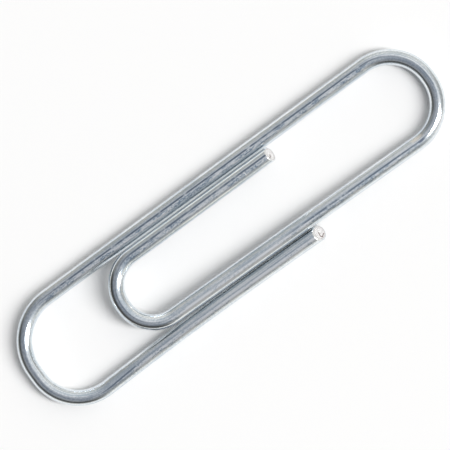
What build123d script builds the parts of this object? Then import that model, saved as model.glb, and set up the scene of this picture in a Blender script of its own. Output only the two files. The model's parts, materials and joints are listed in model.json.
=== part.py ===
from build123d import *
import math
import os

# A paper clip: one round steel wire with four legs and three bends, all turned
# the same way. The wire is made as its named sections, which meet face to face:
# each leg, and the two halves of each bend on either side of its crown.
# X runs along the clip to its tip, Y across it to the outer long leg, and Z up.
# The origin is at the middle of the clip, on the surface that it lies on.
# Lengths are in millimetres, and values that end in _deg are in degrees.

# The wire, and the clip from end to end
wire_diameter = 1.05
clip_length = 33.0

# The bends: the tip's radius at the wire's centre line, which the other two
# follow, the short straight run at each crown, where the wire twists, and how
# much further that run goes on the wide bend's free side, which turns tighter
tip_bend_radius = 2.98
crown_length = 0.2
wide_free_tightening = 0.33

# The legs: the clear space between legs that lie side by side, how far the
# inner bend stands in from the wide end, and each cut end from the tip
leg_gap = 0.03
inner_bend_setback = 7.18
inner_end_setback = 11.52
outer_end_setback = 11.77

# The inner long leg leans away from the outer long leg towards the tip. The
# tongue, which is the whole inner loop, stands a little proud of the outer loop,
# and its free leg a little proud of the tongue
inner_leg_lean_deg = 0.9
tongue_rise_deg = 1.4
inner_free_rise_deg = 1.2

# The outer free leg leaves the wide bend at an angle and eases round to run
# beside the inner long leg: where it meets that line, as a share of its way from
# the wide crown to its end, and the share of its shorter run that the ease takes
outer_leg_toe_in_deg = 1.25
outer_leg_meeting_share = 0.485
outer_leg_ease_share = 0.75

# The sheared ends: the slant of each cut from square, and its rolled rim
inner_cut_slant_deg = 26.0
outer_cut_slant_deg = 38.0
cut_rim_radius = 0.06

# Where the crowns and the cut ends stand along the clip
wire_radius = wire_diameter / 2
wide_end_x = -clip_length / 2
wide_crown_x = wide_end_x + wire_radius
inner_crown_x = wide_end_x + inner_bend_setback + wire_radius
tip_crown_x = clip_length / 2 - wire_radius
inner_cut_x = clip_length / 2 - inner_end_setback
outer_cut_x = clip_length / 2 - outer_end_setback

# The lean and toe-in as sines and cosines
lean = math.radians(inner_leg_lean_deg)
toe_in = math.radians(outer_leg_toe_in_deg)
lean_sin, lean_cos = math.sin(lean), math.cos(lean)
toe_sin, toe_cos = math.sin(toe_in), math.cos(toe_in)

# The inner bend's radius: its top lies one leg below the outer long leg, and one
# straight leg is tangent to it and to the tip bend
leg_pitch = wire_diameter + leg_gap
crown_span = tip_crown_x - inner_crown_x
inner_drop = lean_sin * (crown_span - 2 * tip_bend_radius) + lean_cos * leg_pitch
inner_bend_radius = tip_bend_radius - inner_drop / (1 + lean_cos - lean_sin)

# The wide bend's radius: its lower leg meets the line that runs one leg outside
# the inner long leg. Drops are measured from the outer long leg's centre line.
meeting_x = wide_crown_x + outer_leg_meeting_share * (outer_cut_x - wide_crown_x)
tip_foot_x = tip_crown_x - tip_bend_radius * (1 + lean_sin)
tip_foot_drop = tip_bend_radius * (1 + lean_cos) + crown_length


def outer_lane_drop(x):
    """How far the line beside the inner long leg lies below the outer long leg."""
    return tip_foot_drop + leg_pitch / lean_cos + math.tan(lean) * (x - tip_foot_x)


toe_in_rise = toe_sin * (meeting_x - wide_crown_x)
crown_runs = crown_length + 2 * wide_free_tightening
toe_in_drop = toe_cos * (outer_lane_drop(meeting_x) - crown_runs)
wide_free_radius = (toe_in_rise + toe_in_drop) / (1 + toe_sin + toe_cos)
wide_bend_radius = wide_free_radius + wide_free_tightening

# The clip lies with its outline centred on Y = 0 and its wire on Z = 0
outer_leg_y = wide_bend_radius + crown_length / 2
tip_crown = Vector(tip_crown_x, outer_leg_y - tip_bend_radius - crown_length / 2, wire_radius)
wide_crown = Vector(wide_crown_x, 0, wire_radius)
inner_crown_y = outer_leg_y - leg_pitch - inner_bend_radius - crown_length / 2
inner_crown = Vector(inner_crown_x, inner_crown_y, wire_radius)


def half_bend_path(crown, radius, bulge, side, turn_deg, further=0.0):
    """Half a bend's centre line, from the crown to the leg on that side.

    bulge is 1 where the bend points along +X and -1 along -X, and side is 1 for
    the half above the crown in Y and -1 for the half below. further lengthens the
    crown's run on that side.
    """
    run_end = crown + Vector(0, side * (crown_length / 2 + further), 0)
    run = Line(crown, run_end)
    curve = JernArc(run_end, (0, side, 0), radius, bulge * side * turn_deg)
    return run + curve


def end_of(path):
    """The point where a bend's centre line hands over to its leg."""
    return path.edges()[-1] @ 1


def wire_along(path):
    """Round wire along a centre line."""
    section = Plane(path @ 0, z_dir=path % 0) * Circle(wire_radius)
    return sweep(section, path=path).solid()


def sheared(leg, end, heading, slant_deg):
    """A leg cut off on a slant, longest at its underside, with a rolled rim."""
    slant = math.radians(slant_deg)
    facing = heading * math.cos(slant) + Vector(0, 0, math.sin(slant))
    underside = Vector(end.X, end.Y, 0)
    cut = split(leg, bisect_by=Plane(underside, z_dir=facing), keep=Keep.BOTTOM)
    cut_face = cut.faces().filter_by(GeomType.PLANE).sort_by(Axis.X)[-1]
    return fillet(cut_face.edges(), cut_rim_radius).solid()


def risen(shape):
    """A section or point of the tongue, turned up about the tip's crown."""
    return shape.rotate(Axis(tip_crown, (0, 1, 0)), tongue_rise_deg)


def sprung(shape):
    """A section of the tongue's free arm, turned up about the inner crown."""
    return shape.rotate(Axis(inner_crown, (0, -1, 0)), inner_free_rise_deg)


# Centre lines of the half-bends
tip_outer = half_bend_path(tip_crown, tip_bend_radius, 1, 1, 90)
tip_inner = half_bend_path(tip_crown, tip_bend_radius, 1, -1, 90 + inner_leg_lean_deg)
inner_long = half_bend_path(inner_crown, inner_bend_radius, -1, -1, 90 - inner_leg_lean_deg)
inner_free = half_bend_path(inner_crown, inner_bend_radius, -1, 1, 90)
wide_long = half_bend_path(wide_crown, wide_bend_radius, -1, 1, 90)
toe_in_turn_deg = 90 + outer_leg_toe_in_deg
wide_free = half_bend_path(
    wide_crown, wide_free_radius, -1, -1, toe_in_turn_deg, wide_free_tightening
)


def outer_long_leg():
    """The leg from the wide bend to the tip, along the clip's +Y side."""
    return wire_along(Line(end_of(wide_long), end_of(tip_outer)))


def inner_long_leg():
    """The tongue's leg from the inner bend to the tip."""
    return wire_along(Line(end_of(inner_long), end_of(tip_inner)))


def inner_free_leg():
    """The tongue's short leg, from the inner bend to its cut end."""
    start = end_of(inner_free)
    end = Vector(inner_cut_x, start.Y, start.Z)
    return sheared(wire_along(Line(start, end)), end, Vector(1, 0, 0), inner_cut_slant_deg)


def outer_free_leg():
    """The outer loop's short leg, bowed in beside the inner long leg."""
    start = end_of(wide_free)
    meeting = Vector(meeting_x, outer_leg_y - outer_lane_drop(meeting_x), wire_radius)
    end = Vector(outer_cut_x, outer_leg_y - outer_lane_drop(outer_cut_x), wire_radius)
    ease_run = outer_leg_ease_share * min((meeting - start).length, (end - meeting).length)
    ease_radius = ease_run / math.tan((toe_in + lean) / 2)
    path = FilletPolyline(start, meeting, end, radius=ease_radius)
    heading = Vector(lean_cos, -lean_sin, 0)
    return sheared(wire_along(path), end, heading, outer_cut_slant_deg)


outer_loop = {
    "outer_long_leg": outer_long_leg(),
    "outer_free_leg": outer_free_leg(),
    "tip_bend_outer_half": wire_along(tip_outer),
    "wide_bend_long_half": wire_along(wide_long),
    "wide_bend_free_half": wire_along(wide_free),
}
tongue = {
    "inner_long_leg": inner_long_leg(),
    "inner_free_leg": sprung(inner_free_leg()),
    "tip_bend_inner_half": wire_along(tip_inner),
    "inner_bend_long_half": wire_along(inner_long),
    "inner_bend_free_half": sprung(wire_along(inner_free)),
}
sections = outer_loop | {name: risen(solid) for name, solid in tongue.items()}

os.makedirs("parts", exist_ok=True)
for name, solid in sections.items():
    export_step(solid, f"parts/{name}.step")

risen_inner_crown = risen(Vertex(*inner_crown)).center()
crowns = {"tip": tip_crown, "inner": risen_inner_crown, "wide": wide_crown}
for name, point in crowns.items():
    print(f"{name} crown at {point.X:.4f}, {point.Y:.4f}, {point.Z:.4f}")
print(f"inner bend radius {inner_bend_radius:.4f}, wide bend radius {wide_bend_radius:.4f}")
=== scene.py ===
import json
import math

import bpy
import numpy as np
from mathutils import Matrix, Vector


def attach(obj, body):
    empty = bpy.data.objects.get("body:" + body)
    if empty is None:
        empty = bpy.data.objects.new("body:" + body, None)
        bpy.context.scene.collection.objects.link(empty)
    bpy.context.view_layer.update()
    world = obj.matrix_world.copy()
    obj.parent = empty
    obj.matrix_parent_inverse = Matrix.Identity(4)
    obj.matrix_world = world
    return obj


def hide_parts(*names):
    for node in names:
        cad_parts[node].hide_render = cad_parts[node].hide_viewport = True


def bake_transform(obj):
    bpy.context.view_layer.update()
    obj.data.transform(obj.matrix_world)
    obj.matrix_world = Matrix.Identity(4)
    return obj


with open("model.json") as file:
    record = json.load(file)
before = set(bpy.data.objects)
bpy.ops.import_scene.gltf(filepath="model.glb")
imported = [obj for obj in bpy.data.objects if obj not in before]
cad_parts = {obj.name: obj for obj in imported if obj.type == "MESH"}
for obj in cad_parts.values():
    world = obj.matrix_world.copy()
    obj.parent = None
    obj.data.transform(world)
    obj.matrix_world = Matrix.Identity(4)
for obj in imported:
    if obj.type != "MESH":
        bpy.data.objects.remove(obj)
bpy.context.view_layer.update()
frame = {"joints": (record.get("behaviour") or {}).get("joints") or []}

# A paper clip of zinc-plated steel wire, lying on a white surface and seen from
# straight above. One wire runs from the inner cut end, round the inner bend, the
# tip bend and the wide bend, to the outer cut end. Lengths are in metres.
MM = 0.001

# The wire, and the clear space between legs that lie side by side
wire_radius = 0.525 * MM
leg_gap = 0.03 * MM

# The bends: the tip's radius, the straight run at each crown, and how much further
# that run goes on the wide bend's free side, which turns tighter
tip_bend_radius = 2.98 * MM
crown_length = 0.2 * MM
wide_free_tightening = 0.33 * MM

# The inner long leg's lean, the rise of the tongue and of its free leg, and the
# outer free leg's toe-in, with the share of its shorter run that the ease takes
lean = math.radians(0.9)
tongue_rise = math.radians(1.4)
free_rise = math.radians(1.2)
toe_in = math.radians(1.25)
ease_share = 0.75

# The cut ends: how far each underside reaches, the slant of the cut, its rim
inner_cut_x = 4.98 * MM
outer_cut_x = 4.73 * MM
inner_cut_slant = math.radians(26)
outer_cut_slant = math.radians(38)
cut_rim_radius = 0.06 * MM

# The meshes: points round the wire, the step along it, how far the rings slide to
# follow a slanted cut, and the rings on a cut's rim and face
points_round = 144
ring_step = 0.16 * MM
slide_length = 1.8 * MM
rim_rings = 5
face_rings = 18

# Dents: how flat their floor is, and the close rings across each, which spread over
# this many of its half lengths to either side
dent_flatness = 4
dent_rings = 19
dent_spread = 1.8

# The finer lines that drawing leaves along the wire: the lines of each set round the
# wire, their depth, and the most that they drift round it
draw_line_sets = range(5, 23, 2)
draw_line_depth = 0.0006 * MM
draw_line_drift = 0.06
draw_line_seed = 11

# The die's own line, near the wire's top
die_line_half_angle = math.radians(4.5)
die_line_depth = 0.005 * MM

# The die line's course: millimetres along the wire, its angle round the wire in
# degrees, its strength, and the strength of the painted sheen on the flecked band beside it
die_line_course = [
    (0, 103, 1, 0.3),
    (11, 103, 1, 0.3),
    (13, 100, 0.1, 0),
    (18, 90, 0.15, 0),
    (20, 87, 0.25, 1),
    (27, 87, 0.25, 1),
    (30, 88, 1, 0.2),
    (37, 88, 1, 0.2),
    (39.5, 90, 0.1, 0),
    (41.3, 91, 0.1, 0),
    # Over the tip crown the line is made strong to paint the dark reflection that lies across the
    # crown, as well as the die line
    (42.8, 91, 0.75, 0),
    (46.5, 93, 0.6, 0),
    (49, 99, 1, 0.35),
    (72, 99, 1, 0.35),
    (75, 95, 0.1, 0),
    (83.6, 98, 0.1, 0),
    (84.6, 100, 0.9, 0.1),
    (86.3, 91, 0.9, 0.1),
    (87.5, 86, 0.3, 0.9),
]

# The break on the cut faces: its depth, how many waves make it up, the radians of
# each to a millimetre, the span of their sum, and how sharply it fades at the rim
break_depth = 0.006 * MM
break_waves = 9
break_tightness = (9, 32)
break_span = 12
break_fade = 4
break_seed = 5

# The crack in each cut face, as places to the left of the wire's way and up from its
# centre in millimetres, and how sharply it fades at the rim
crack_depth = 0.045 * MM
crack_half_width = 0.035 * MM
crack_fade = 8
inner_crack = [(0.03, -0.01), (0.19, 0.24), (0.15, 0.42)]
outer_crack = [(0.06, 0.03), (-0.24, 0.08), (-0.33, -0.03), (-0.19, -0.27)]


def joint_place(name):
    """Where a joint's axis passes through the wire."""
    joint = next(j for j in frame["joints"] if j["name"] == name)
    return Vector(joint["pos_m"])


tip_crown = joint_place("tongue_lift")
wide_crown = joint_place("outer_free_arm_lift")
inner_crown_risen = joint_place("inner_free_arm_lift")

# The route of the wire's centre line, flat on the surface. Each stretch has a
# section's name, a length and a curvature, which is positive to the left.
half_crown = crown_length / 2
leg_pitch = 2 * wire_radius + leg_gap
quarter = math.pi / 2
inner_crown_x = tip_crown.x - (tip_crown - inner_crown_risen).xz.length
outer_leg_y = tip_crown.y + tip_bend_radius + half_crown
inner_free_leg_y = outer_leg_y - leg_pitch
inner_bend_radius = inner_free_leg_y - inner_crown_risen.y - half_crown
wide_bend_radius = outer_leg_y - wide_crown.y - half_crown
wide_free_radius = wide_bend_radius - wide_free_tightening
wide_run_end_y = wide_crown.y - half_crown - wide_free_tightening

# The feet of the bends, where they hand over to the inner long and outer free legs
tip_foot_x = tip_crown.x - tip_bend_radius * (1 + math.sin(lean))
tip_foot_y = tip_crown.y - half_crown - tip_bend_radius * math.cos(lean)
inner_foot_x = inner_crown_x + inner_bend_radius * (1 - math.sin(lean))
wide_foot_x = wide_crown.x + wide_free_radius * (1 + math.sin(toe_in))
wide_foot_y = wide_run_end_y - wide_free_radius * math.cos(toe_in)

# The outer free leg runs in to the lane beside the inner long leg, and along it
lane_off_x = tip_foot_x - leg_pitch * math.sin(lean) - wide_foot_x
lane_off_y = tip_foot_y - leg_pitch * math.cos(lean) - wide_foot_y
lane_off = lane_off_x * math.sin(lean) + lane_off_y * math.cos(lean)
toe_in_run = lane_off / math.sin(lean + toe_in)
lane_run = (outer_cut_x - wide_foot_x - toe_in_run * math.cos(toe_in)) / math.cos(lean)
ease_run = ease_share * min(toe_in_run, lane_run)
ease_radius = ease_run / math.tan((toe_in + lean) / 2)

inner_free_length = inner_cut_x - inner_crown_x - inner_bend_radius
inner_long_length = (tip_foot_x - inner_foot_x) / math.cos(lean)
outer_long_length = tip_crown.x - tip_bend_radius - wide_crown.x - wide_bend_radius


def bend(name, radius, first_turn, last_turn, tightening=0.0):
    """A bend to the left, with its straight crown between two arcs."""
    last_radius = radius - tightening
    return [
        (name, radius * first_turn, 1 / radius),
        (name, crown_length + tightening, 0),
        (name, last_radius * last_turn, 1 / last_radius),
    ]


route = [
    ("inner_free_leg", inner_free_length, 0),
    *bend("inner_bend", inner_bend_radius, quarter, quarter - lean),
    ("inner_long_leg", inner_long_length, 0),
    *bend("tip_bend", tip_bend_radius, quarter + lean, quarter),
    ("outer_long_leg", outer_long_length, 0),
    *bend("wide_bend", wide_bend_radius, quarter, quarter + toe_in, wide_free_tightening),
    ("outer_free_leg", toe_in_run - ease_run, 0),
    ("outer_free_leg", ease_radius * (toe_in + lean), -1 / ease_radius),
    ("outer_free_leg", lane_run - ease_run, 0),
]


def span_of(section):
    """Where a section starts and ends, measured along the wire."""
    reached, start, end = 0.0, None, None
    for name, length, _ in route:
        if name == section and start is None:
            start = reached
        reached += length
        if name == section:
            end = reached
    return start, end


tip_bend_reach = span_of("tip_bend")[0]
tip_crown_reach = tip_bend_reach + tip_bend_radius * (quarter + lean) + half_crown
inner_crown_reach = inner_free_length + inner_bend_radius * quarter + half_crown


def dent(at, around_deg, half_length_mm, half_angle_deg, depth_mm):
    """A small dent: its place along the wire and round it, its half size and its depth."""
    around, half_angle = math.radians(around_deg), math.radians(half_angle_deg)
    return at, around, half_length_mm * MM, half_angle, depth_mm * MM


# The nick is on the inner free leg. The bending tool's mark, and the dark place that
# it pressed, are where the inner long leg runs into the tip bend.
nick = dent(2.29 * MM, 74, 0.035, 21, 0.0015)
tool_mark = dent(tip_bend_reach + 0.1 * MM, 58, 0.45, 13, 0.012)
tool_press = dent(tip_bend_reach + 0.2 * MM, 92, 0.26, 9, 0.004)
dents = (nick, tool_mark, tool_press)


def flat_line(reach):
    """Places and headings on the flat centre line at distances along the wire."""
    place_x, place_y, heading = inner_cut_x, inner_free_leg_y, math.pi
    xs, ys, headings = (np.zeros_like(reach) for _ in range(3))
    begun = 0.0
    for count, (_, length, curvature) in enumerate(route):
        here = reach >= begun if count else np.ones_like(reach, bool)
        run = reach[here] - begun
        turned = heading + curvature * run
        end = heading + curvature * length
        headings[here] = turned
        if curvature:
            xs[here] = place_x + (np.sin(turned) - math.sin(heading)) / curvature
            ys[here] = place_y - (np.cos(turned) - math.cos(heading)) / curvature
            place_x += (math.sin(end) - math.sin(heading)) / curvature
            place_y -= (math.cos(end) - math.cos(heading)) / curvature
        else:
            xs[here] = place_x + run * math.cos(heading)
            ys[here] = place_y + run * math.sin(heading)
            place_x += length * math.cos(heading)
            place_y += length * math.sin(heading)
        heading = end
        begun += length
    return xs, ys, headings


def tilted(xs, zs, centre_x, angle):
    """Places turned about a line across the clip, through the wire's mid height."""
    from_x, from_z = xs - centre_x, zs - wire_radius
    tilted_x = centre_x + from_x * np.cos(angle) + from_z * np.sin(angle)
    tilted_z = wire_radius - from_x * np.sin(angle) + from_z * np.cos(angle)
    return tilted_x, tilted_z


def on_wire(reach, across, up):
    """Points beside the centre line: across to the left of the wire's way, and up."""
    xs, ys, headings = flat_line(reach)
    xs = xs - across * np.sin(headings)
    ys = ys + across * np.cos(headings)
    zs = wire_radius + up + 0 * reach
    xs, zs = tilted(xs, zs, inner_crown_x, np.where(reach < inner_crown_reach, -free_rise, 0))
    xs, zs = tilted(xs, zs, tip_crown.x, np.where(reach < tip_crown_reach, tongue_rise, 0))
    return np.stack([xs, ys, zs], axis=-1)


def link(made):
    """Puts a new object in the scene."""
    bpy.context.scene.collection.objects.link(made)
    return made


def ring_angles():
    """Angles round the wire: 0 on the left of its way, a quarter turn on top."""
    return np.arange(points_round) * 2 * math.pi / points_round


def dent_share(reach, angle, place):
    """How much of a dent's depth is reached: 1 in its middle and 0 outside."""
    at, around, half_length, half_angle, _ = place
    along = ((reach - at) / half_length) ** dent_flatness
    return np.exp(-along - ((angle - around) / half_angle) ** dent_flatness)


def draw_lines(reach, angle):
    """Fine lines along the wire, which drift slowly round it."""
    chance = np.random.default_rng(draw_line_seed)
    height = 0.0
    for lines in draw_line_sets:
        phase = chance.uniform(0, 2 * math.pi)
        drift = chance.uniform(-draw_line_drift, draw_line_drift) / MM
        height = height + draw_line_depth * np.cos(lines * angle + phase + drift * reach)
    return height


def die_line_at(reach):
    """The die line's angle, its strength and its band's painted sheen along the wire."""
    places, angles, strengths, fleck_sheen = zip(*die_line_course)
    at = reach / MM
    return [np.interp(at, places, values) for values in (np.radians(angles), strengths, fleck_sheen)]


def relief(reach, angle):
    """How far the surface stands off the true round."""
    line_angle, strength, _ = die_line_at(reach)
    die_line = strength * np.exp(-((angle - line_angle) / die_line_half_angle) ** 2)
    height = draw_lines(reach, angle) - die_line_depth * die_line
    for place in dents:
        height = height - place[-1] * dent_share(reach, angle, place)
    return height


def by_die_line(reach, angle):
    """How far off the die line a point lies, the line's strength and its band's painted sheen.

    The sheen is negative where the clip's -Y side, on which the band lies, is on
    the right of the wire's way. That side faces the key light.
    """
    line_angle, strength, fleck_sheen = die_line_at(reach)
    off = np.cos(angle) - np.cos(line_angle)
    side = -np.sign(np.cos(flat_line(reach)[2]))
    return np.stack([off, strength, side * fleck_sheen], axis=-1)


def wall(reach, angle):
    """Points on the wire's side."""
    radius = wire_radius + relief(reach, angle)
    return on_wire(reach, radius * np.cos(angle), radius * np.sin(angle))


def wall_normals(reach, angle):
    """Directions straight out of the wire's side, the same on both sides of a seam."""
    step, turn = 0.01 * MM, 0.01
    along = wall(reach + step, angle) - wall(reach - step, angle)
    around = wall(reach, angle + turn) - wall(reach, angle - turn)
    out = np.cross(around, along)
    return out / np.linalg.norm(out, axis=-1, keepdims=True)


def wall_reach(section):
    """How far along the wire each ring lies, with close rings at a dent."""
    start, end = span_of(section)
    reach = np.linspace(start, end, round((end - start) / ring_step) + 1)
    for at, _, half_length, _, _ in dents:
        close = at + half_length * np.linspace(-dent_spread, dent_spread, dent_rings)
        reach = np.union1d(reach, close[(close > start) & (close < end)])
    return reach[:, None] * np.ones(points_round)


def crack_share(across, up, crack):
    """1 in the crack of a cut face and 0 away from it."""
    places = np.stack([across, up], axis=-1)
    nearest = np.full(across.shape, np.inf)
    corners = np.array(crack) * MM
    for begin, finish in zip(corners, corners[1:]):
        along = finish - begin
        share = np.clip((places - begin) @ along / (along @ along), 0, 1)
        away = np.linalg.norm(places - begin - share[..., None] * along, axis=-1)
        nearest = np.minimum(nearest, away)
    return np.exp(-(nearest / crack_half_width) ** 2)


def break_roughness(across, up):
    """The uneven depth of a broken steel face, from nothing to its full depth."""
    chance = np.random.default_rng(break_seed)
    waves = 0.0
    for _ in range(break_waves):
        turn = chance.uniform(0, 2 * math.pi)
        tightness = chance.uniform(*break_tightness) / MM
        phase = chance.uniform(0, 2 * math.pi)
        along = across * math.cos(turn) + up * math.sin(turn)
        waves = waves + np.sin(tightness * along + phase)
    return break_depth * np.clip(0.5 + waves / break_span, 0, 1)


def cut_end(slant, crack):
    """The rolled rim and the broken face, as rings from the wall inwards.

    Gives each point's depth from the toe of the cut, its radius and its crack share.
    """
    up_share, across_share = np.sin(ring_angles()), np.cos(ring_angles())
    rim = np.linspace(0, 1, rim_rings + 1)[1:, None] + 0 * up_share
    face = np.linspace(1, 0, face_rings + 1)[1:-1, None] + 0 * up_share
    face_radius = (wire_radius - cut_rim_radius) * face
    across, up = face_radius * across_share, face_radius * up_share
    cracked = crack_share(across, up, crack) * (1 - face ** crack_fade)
    face_depth = break_roughness(across, up) * (1 - face ** break_fade) + crack_depth * cracked
    radius = np.concatenate([wire_radius - cut_rim_radius * rim ** 2, face_radius])
    depth = np.concatenate([cut_rim_radius * (1 - rim) ** 2, face_depth])
    depth = depth + (wire_radius + radius * up_share) * math.tan(slant)
    return depth, radius, np.concatenate([0 * rim, cracked])


cuts = {
    "inner_free_leg": (inner_cut_slant, inner_crack),
    "outer_free_leg": (outer_cut_slant, outer_crack),
}


def wire_places(reach, angle):
    """A point's place for the materials: millimetres along, and a turn round the wire."""
    return np.stack([reach / MM, np.cos(angle) + 0 * reach, np.sin(angle) + 0 * reach], axis=-1)


def wall_rings(reach, angle):
    """Rings on the wire's side: points, normals, places, dents, and the die line."""
    marks = np.stack([dent_share(reach, angle, place) for place in dents], axis=-1)
    places, die_line = wire_places(reach, angle), by_die_line(reach, angle)
    return wall(reach, angle), wall_normals(reach, angle), places, marks, die_line


def section_rings(section):
    """All rings of a section in order along the wire, with its cut end if it has one."""
    angle = ring_angles()
    reach = wall_reach(section)
    if section not in cuts:
        return wall_rings(reach, angle)
    slant, crack = cuts[section]
    start, end = span_of(section)
    toe, inwards = (start, 1) if start == 0 else (end, -1)
    slide = np.clip(1 - np.abs(reach - toe) / slide_length, 0, 1)
    edge = wire_radius * (1 + np.sin(angle)) * math.tan(slant) + cut_rim_radius
    sides = wall_rings(reach + inwards * slide * edge, angle)
    depth, radius, cracked = cut_end(slant, crack)
    cut_reach = toe + inwards * depth
    across, up = radius * np.cos(angle), radius * np.sin(angle)
    points = on_wire(cut_reach, across, up)
    marks = np.stack([across / MM, up / MM, cracked], axis=-1)
    ends = (points, 0 * points, wire_places(cut_reach, angle), marks, 0 * points)
    if inwards > 0:
        return [np.concatenate([cut[::-1], side]) for side, cut in zip(sides, ends)]
    return [np.concatenate([side, cut]) for side, cut in zip(sides, ends)]


def wire_faces(rings):
    """Quads between the rings, and a fan of triangles at each end."""
    point = np.arange(points_round)
    beside = (point + 1) % points_round
    low = np.arange(rings - 1)[:, None] * points_round
    high = low + points_round
    quads = np.stack([low + point, low + beside, high + beside, high + point], -1).reshape(-1, 4)
    first, top = rings * points_round, (rings - 1) * points_round
    start_fan = np.stack([first + 0 * point, beside, point], -1)
    end_fan = np.stack([first + 1 + 0 * point, top + point, top + beside], -1)
    return quads, start_fan, end_fan


def with_centres(rings):
    """Ring values as one list, with the middle of the first and of the last ring added."""
    flat = rings.reshape(-1, 3)
    return np.concatenate([flat, rings[:1].mean(1), rings[-1:].mean(1)])


def shade(mesh, section, rings, normals, quads):
    """Smooth sides with exact normals, flat seams, and bare steel on a cut face."""
    smooth = np.ones(len(mesh.polygons), bool)
    metal = np.zeros(len(mesh.polygons), np.int32)
    walls = slice(0, len(quads))
    start_fan = slice(len(quads), len(quads) + points_round)
    end_fan = slice(len(quads) + points_round, None)
    ring_of = np.repeat(np.arange(rings - 1), points_round)
    cut_at_start = section in cuts and span_of(section)[0] == 0
    cut_at_end = section in cuts and not cut_at_start
    for fan, is_cut in ((start_fan, cut_at_start), (end_fan, cut_at_end)):
        smooth[fan] = is_cut
        metal[fan] = is_cut
    if cut_at_start:
        metal[walls] = ring_of < face_rings - 1
    if cut_at_end:
        metal[walls] = ring_of >= rings - face_rings
    mesh.polygons.foreach_set("use_smooth", smooth)
    mesh.polygons.foreach_set("material_index", metal)
    corner_normals = np.zeros((len(mesh.loops), 3))
    corner_normals[:quads.size] = normals.reshape(-1, 3)[quads.ravel()]
    mesh.normals_split_custom_set(corner_normals.tolist())


def make_wire(section):
    """One section of the wire as a closed mesh."""
    points, normals, places, marks, die_line = section_rings(section)
    quads, start_fan, end_fan = wire_faces(len(points))
    faces = quads.tolist() + start_fan.tolist() + end_fan.tolist()
    mesh = bpy.data.meshes.new(section + "_wire")
    mesh.from_pydata(with_centres(points).tolist(), [], faces)
    for name, values in (("wire_place", places), ("wire_mark", marks), ("die_line", die_line)):
        attribute = mesh.attributes.new(name, "FLOAT_VECTOR", "POINT")
        attribute.data.foreach_set("vector", with_centres(values).astype(np.float32).ravel())
    mesh.materials.append(zinc)
    if section in cuts:
        mesh.materials.append(sheared_steel)
    shade(mesh, section, len(points), normals, quads)
    mesh.update()
    return link(bpy.data.objects.new(mesh.name, mesh))


def add(tree, kind, inputs=None, **settings):
    """A node, with settings, and values or links for its inputs."""
    made = tree.nodes.new(kind)
    for name, value in settings.items():
        setattr(made, name, value)
    for socket, value in (inputs or {}).items():
        if isinstance(value, bpy.types.NodeSocket):
            tree.links.new(value, made.inputs[socket])
        else:
            made.inputs[socket].default_value = value
    return made


def vector_math(tree, operation, inputs):
    """An operation on vectors or colours."""
    return add(tree, "ShaderNodeVectorMath", inputs, operation=operation)


def scaled(tree, vector, share):
    """A vector or colour times a share."""
    return vector_math(tree, "SCALE", {0: vector, "Scale": share}).outputs["Vector"]


def summed(tree, first, second):
    """Two vectors or colours added."""
    return vector_math(tree, "ADD", {0: first, 1: second}).outputs["Vector"]


def math_of(tree, operation, first, second=0.0):
    """An operation on one or two values."""
    return add(tree, "ShaderNodeMath", {0: first, 1: second}, operation=operation).outputs[0]


def product(tree, *values):
    """Several values multiplied."""
    result = values[0]
    for value in values[1:]:
        result = math_of(tree, "MULTIPLY", result, value)
    return result


def total(tree, *values):
    """Several values added."""
    result = values[0]
    for value in values[1:]:
        result = math_of(tree, "ADD", result, value)
    return result


def ramp(tree, value, low, high, start=0.0, end=1.0):
    """A smooth change from start to end as a value goes from low to high."""
    inputs = {"Value": value, "From Min": low, "From Max": high, "To Min": start, "To Max": end}
    return add(tree, "ShaderNodeMapRange", inputs, interpolation_type="SMOOTHSTEP").outputs["Result"]


def mixed(tree, share, first, second):
    """A colour between two others."""
    made = add(tree, "ShaderNodeMix", {0: share}, data_type="RGBA")
    for socket, colour in ((made.inputs[6], first), (made.inputs[7], second)):
        if isinstance(colour, bpy.types.NodeSocket):
            tree.links.new(colour, socket)
        else:
            socket.default_value = (*colour, 1)
    return made.outputs[2]


def grain(tree, place, stretch, detail):
    """Noise on the wire, with its own scale along the wire and round it."""
    at = vector_math(tree, "MULTIPLY", {0: place, 1: stretch}).outputs["Vector"]
    inputs = {"Vector": at, "Scale": 1.0, "Detail": detail, "Roughness": 0.6}
    return add(tree, "ShaderNodeTexNoise", inputs).outputs["Fac"]


def bumped(tree, height, depth):
    """A normal on a surface that stands up by a depth in metres."""
    inputs = {"Strength": 1.0, "Distance": depth, "Height": height}
    return add(tree, "ShaderNodeBump", inputs).outputs["Normal"]


def new_material(name):
    """A material, its nodes and its shader."""
    material = bpy.data.materials.new(name)
    material.use_nodes = True
    return material, material.node_tree, material.node_tree.nodes["Principled BSDF"]


def attribute_of(tree, name):
    """A mesh attribute, and its three values."""
    vector = add(tree, "ShaderNodeAttribute", attribute_name=name).outputs["Vector"]
    parts = add(tree, "ShaderNodeSeparateXYZ", {0: vector})
    return vector, parts.outputs["X"], parts.outputs["Y"], parts.outputs["Z"]


# The zinc's colours: its pale and dark places, the die line, which over the tip crown
# also paints a dark reflection, the dull flecks beside it and the bright flecks, which
# paint glints of sheen, the place that the tool pressed, and the scars
zinc_pale = (0.885, 0.915, 0.93)
zinc_dark = (0.575, 0.645, 0.705)
die_line_and_reflection_dark = (0.13, 0.18, 0.25)
fleck_dull = (0.25, 0.34, 0.44)
fleck_and_glint_bright = (0.97, 0.98, 0.99)
press_dark = (0.18, 0.22, 0.31)
scar_pale = (0.96, 0.92, 0.85)

# The zinc's grains: how close each is along the wire, and round it on two axes
line_grain = (0.12, 9, 9)
speckle_grain = (9, 4.7, 4.7)
patch_grain = (0.5, 1.1, 1.1)
fine_fleck_grain = (7, 9, 9)
broad_fleck_grain = (0.8, 2, 2)
line_break_grain = (1.6, 0.4, 0.4)

# Shares of lines, speckle and patches in the tone, of fine and broad grain and the
# painted sheen in the flecks, and of the press and the nick in the colour
line_share, speckle_share, patch_share = 0.5, 0.3, 0.2
fine_share, broad_share, fleck_sheen_share = 0.55, 0.45, 0.14
press_share, nick_share = 0.85, 0.5

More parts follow.
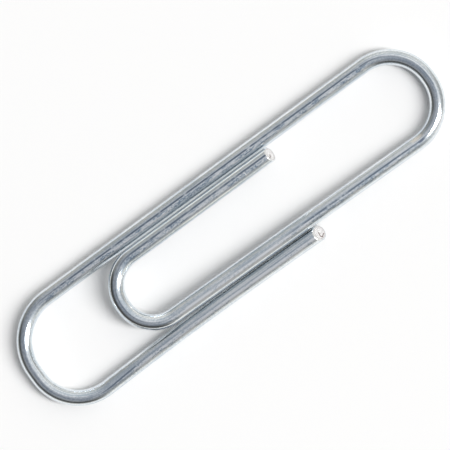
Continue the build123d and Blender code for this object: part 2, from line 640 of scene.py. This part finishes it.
# Ramps of the zinc: a value's low and high, and what they turn into. The band and the
# die line are measured in wire radii off the line, and the top by its height.
tone_ramp = (0.4, 0.6)
rough_ramp = (0.38, 0.62, 0.13, 0.07)
top_ramp = (0.1, 0.4)
band_near_ramp = (0.02, 0.16)
band_far_ramp = (0.55, 0.75, 1, 0)
fleck_sheen_ramp = (0, 0.25)
dull_ramp = (0.47, 0.53, 0.8, 0)
fleck_glint_ramp = (0.56, 0.61, 0, 0.95)
die_line_ramp = (0.04, 0.16, 0.85, 0)
line_break_ramp = (0.26, 0.48)
scar_roughness = 0.3
zinc_bump_speckle = 0.5
zinc_bump_depth = 0.002 * MM


def with_die_line(tree, colour, place, up):
    """A colour with the die's dark, broken line, and the flecked band beside it, brightened with
    painted sheen.
    """
    _, off, strength, sided_sheen = attribute_of(tree, "die_line")
    fleck_sheen = math_of(tree, "ABSOLUTE", sided_sheen)
    beside = product(tree, off, math_of(tree, "SIGN", sided_sheen))
    top = ramp(tree, up, *top_ramp)
    # The flecked band carries painted sheen: it keeps to the clip's -Y side of the line, the side
    # toward the key light, and near the top
    near, far = ramp(tree, beside, *band_near_ramp), ramp(tree, beside, *band_far_ramp)
    sheen_band = product(tree, near, far, top, ramp(tree, fleck_sheen, *fleck_sheen_ramp))
    fine = product(tree, grain(tree, place, fine_fleck_grain, 4), fine_share)
    broad = product(tree, grain(tree, place, broad_fleck_grain, 2), broad_share)
    flecks = total(tree, fine, broad, product(tree, fleck_sheen, fleck_sheen_share))
    dull = product(tree, sheen_band, ramp(tree, flecks, *dull_ramp))
    colour = mixed(tree, dull, colour, fleck_dull)
    fleck_glint = product(tree, sheen_band, ramp(tree, flecks, *fleck_glint_ramp))
    colour = mixed(tree, fleck_glint, colour, fleck_and_glint_bright)
    # The die's dark line, which over the tip crown also paints a dark reflection
    line = ramp(tree, math_of(tree, "ABSOLUTE", off), *die_line_ramp)
    broken = ramp(tree, grain(tree, place, line_break_grain, 3), *line_break_ramp)
    return mixed(tree, product(tree, line, broken, top, strength), colour, die_line_and_reflection_dark)


def zinc_material():
    """Bright zinc on drawn wire: lengthwise lines, speckle, patches and small scars."""
    material, tree, shader = new_material("zinc_plating")
    place, _, _, up = attribute_of(tree, "wire_place")
    _, nicked, marked, pressed = attribute_of(tree, "wire_mark")
    lines = grain(tree, place, line_grain, 3)
    speckle = grain(tree, place, speckle_grain, 2)
    patches = grain(tree, place, patch_grain, 2)
    parts = ((lines, line_share), (speckle, speckle_share), (patches, patch_share))
    tone = total(tree, *(product(tree, part, share) for part, share in parts))
    colour = mixed(tree, ramp(tree, tone, *tone_ramp), zinc_dark, zinc_pale)
    colour = with_die_line(tree, colour, place, up)
    colour = mixed(tree, product(tree, pressed, press_share), colour, press_dark)
    scarred = math_of(tree, "MAXIMUM", product(tree, nicked, nick_share), marked)
    colour = mixed(tree, scarred, colour, scar_pale)
    rough = total(tree, ramp(tree, tone, *rough_ramp), product(tree, scarred, scar_roughness))
    height = total(tree, lines, product(tree, speckle, zinc_bump_speckle))
    tree.links.new(colour, shader.inputs["Base Color"])
    tree.links.new(rough, shader.inputs["Roughness"])
    tree.links.new(bumped(tree, height, zinc_bump_depth), shader.inputs["Normal"])
    shader.inputs["Metallic"].default_value = 1.0
    return material


# The sheared steel's colours: its pale and dark places, the ring that the shear left
# inside the rim, and the brown crack
steel_pale = (0.96, 0.955, 0.945)
steel_dark = (0.55, 0.53, 0.52)
ring_dark = (0.40, 0.37, 0.36)
crack_brown = (0.11, 0.05, 0.035)

# The steel's grains, across and up the face, the share of specks in its tone, the
# ring's radius in millimetres, and its ramps
torn_grain = (16, 5, 0)
speck_grain = (24, 24, 0)
speck_share = 0.5
ring_radius_mm = 0.41
steel_tone_ramp = (0.6, 0.95)
ring_ramp = (0.01, 0.05, 0.8, 0)
ring_torn_ramp = (0.4, 0.55)
crack_ramp = (0.25, 0.75)
steel_bump_depth = 0.004 * MM


def steel_material():
    """Bare steel where the wire was sheared: pale, matte, with a brown crack."""
    material, tree, shader = new_material("sheared_steel")
    at, across, up, cracked = attribute_of(tree, "wire_mark")
    torn = grain(tree, at, torn_grain, 3)
    specks = product(tree, grain(tree, at, speck_grain, 2), speck_share)
    tone = ramp(tree, total(tree, torn, specks), *steel_tone_ramp)
    colour = mixed(tree, tone, steel_dark, steel_pale)
    squares = product(tree, across, across), product(tree, up, up)
    away = math_of(tree, "SQRT", total(tree, *squares))
    off = math_of(tree, "ABSOLUTE", math_of(tree, "SUBTRACT", away, ring_radius_mm))
    ring = product(tree, ramp(tree, off, *ring_ramp), ramp(tree, torn, *ring_torn_ramp))
    colour = mixed(tree, ring, colour, ring_dark)
    colour = mixed(tree, ramp(tree, cracked, *crack_ramp), colour, crack_brown)
    tree.links.new(colour, shader.inputs["Base Color"])
    tree.links.new(bumped(tree, torn, steel_bump_depth), shader.inputs["Normal"])
    shader.inputs["Metallic"].default_value = 0.25
    shader.inputs["Roughness"].default_value = 0.5
    return material


zinc = zinc_material()
sheared_steel = steel_material()

# Each leg rides on its own body
riders = {
    "inner_free_leg": "inner_free_arm",
    "inner_long_leg": "tongue",
    "outer_long_leg": "outer_loop",
    "outer_free_leg": "outer_free_arm",
}
for section, body in riders.items():
    piece = make_wire(section)
    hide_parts(section)
    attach(piece, body)

# Each bend lies between two bodies, across the clip from one leg to the other, as one mesh fixed in
# place of its two halves
bends = {
    "inner_bend": ("tongue", "inner_free_arm", "inner_bend_long_half", "inner_bend_free_half"),
    "tip_bend": ("outer_loop", "tongue", "tip_bend_outer_half", "tip_bend_inner_half"),
    "wide_bend": ("outer_loop", "outer_free_arm", "wide_bend_long_half", "wide_bend_free_half"),
}
for section, (kept, moved, kept_half, moved_half) in bends.items():
    piece = make_wire(section)
    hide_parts(kept_half, moved_half)
    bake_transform(piece)


# The studio: bearings are measured from the photo's right side, and the camera stands
# straight above the clip, a little off its middle
photo_turn = math.radians(-36.2)
camera_x, camera_y = -0.35 * MM, 0.48 * MM
camera_distance = 243.9 * MM
camera_lens, camera_sensor = 300.0, 36.0

# The floor's half size and its white
floor_half = 3.0
floor_white = (0.97, 0.963, 0.945)

# The key light: its bearing and height in degrees, its distance and size in metres,
# its power in watts and its colour
key_bearing, key_elevation = -9, 50
key_distance, key_width, key_height = 2.4, 0.65, 2.0
key_watts = 43.2
key_colour = (0.985, 0.985, 1.0)

# The room: its plain light, pale panels as bearing and height in degrees, the
# angles from the middle at which each is full and gone, and its light, then dark
# flags with the share each takes, the dark strip low on the left, and the horizon
room_light = (0.286, 0.279, 0.258)
panels = [
    (36, 0, 65, 110, (0.515, 0.508, 0.487)),
    (0, 90, 8, 80, (0.0, 0.025, 0.085)),
    (-50, 3, 8, 20, (0.27, 0.27, 0.26)),
]
flags = [
    (18, 18, 8, 28, 0.35),
    (188, 38, 8, 24, 0.2),
    (306, 37, 6, 22, 0.25),
]
strip_side = (226, 0, 52, 78)
strip_share = 0.72
strip_rise = (0.1, 0.21)
strip_fade = (0.5, 0.64)
horizon_light = (0.54, 0.53, 0.49)
horizon_height = 0.07


def studio_direction(bearing_deg, elevation_deg):
    """A direction given by its bearing in the photo and its height."""
    bearing = math.radians(bearing_deg) + photo_turn
    elevation = math.radians(elevation_deg)
    flat = math.cos(elevation)
    return Vector((flat * math.cos(bearing), flat * math.sin(bearing), math.sin(elevation)))


def floor():
    """A large white surface under the clip."""
    half = floor_half
    corners = [(-half, -half, 0), (half, -half, 0), (half, half, 0), (-half, half, 0)]
    mesh = bpy.data.meshes.new("floor")
    mesh.from_pydata(corners, [], [(0, 1, 2, 3)])
    material, _, shader = new_material("white_surface")
    shader.inputs["Base Color"].default_value = (*floor_white, 1)
    shader.inputs["Roughness"].default_value = 0.9
    shader.inputs["Specular IOR Level"].default_value = 0.0
    mesh.materials.append(material)
    made = link(bpy.data.objects.new("floor", mesh))


def key_light():
    """A narrow, tall softbox on the photo's right."""
    toward = studio_direction(key_bearing, key_elevation)
    lamp = bpy.data.lights.new("key_softbox", "AREA")
    lamp.color = key_colour
    lamp.shape = "ELLIPSE"
    lamp.size = key_width
    lamp.size_y = key_height
    lamp.energy = key_watts
    made = link(bpy.data.objects.new("key_softbox", lamp))
    made.location = toward * key_distance
    made.rotation_mode = "QUATERNION"
    made.rotation_quaternion = toward.to_track_quat("Z", "Y")


def nearness(tree, direction, bearing, elevation, full, gone):
    """1 near a direction of the room, and 0 far from it."""
    facing = studio_direction(bearing, elevation)
    near = vector_math(tree, "DOT_PRODUCT", {0: direction, 1: facing}).outputs["Value"]
    return ramp(tree, near, math.cos(math.radians(gone)), math.cos(math.radians(full)))


def dimmed(tree, light, where, share):
    """A light with a share taken from it where a value is 1."""
    return scaled(tree, light, ramp(tree, where, 0, 1, 1, 1 - share))


def studio_world():
    """A room with pale panels, dark places on the left and a pale horizon."""
    world = bpy.data.worlds.new("studio")
    world.use_nodes = True
    bpy.context.scene.world = world
    tree = world.node_tree
    direction = add(tree, "ShaderNodeTexCoord").outputs["Generated"]
    height = add(tree, "ShaderNodeSeparateXYZ", {0: direction}).outputs["Z"]
    light = room_light
    for *place, panel_light in panels:
        share = nearness(tree, direction, *place)
        light = summed(tree, scaled(tree, panel_light, share), light)
    for *place, share in flags:
        light = dimmed(tree, light, nearness(tree, direction, *place), share)
    above, below = ramp(tree, height, *strip_rise), ramp(tree, height, *strip_fade, 1, 0)
    strip = product(tree, above, below, nearness(tree, direction, *strip_side))
    light = dimmed(tree, light, strip, strip_share)
    low = ramp(tree, height, 0, horizon_height, 1, 0)
    light = summed(tree, scaled(tree, horizon_light, low), light)
    tree.links.new(light, tree.nodes["Background"].inputs["Color"])


def photo_camera():
    """A camera straight above, as in the photo."""
    camera = bpy.data.cameras.new("photo_camera")
    camera.lens = camera_lens
    camera.sensor_width = camera_sensor
    camera.clip_start = 1 * MM
    made = link(bpy.data.objects.new("photo_camera", camera))
    made.location = (camera_x, camera_y, wire_radius + camera_distance)
    made.rotation_euler = (0, 0, photo_turn)
    bpy.context.scene.camera = made


floor()
key_light()
studio_world()
photo_camera()
bpy.context.scene.view_settings.view_transform = "Standard"
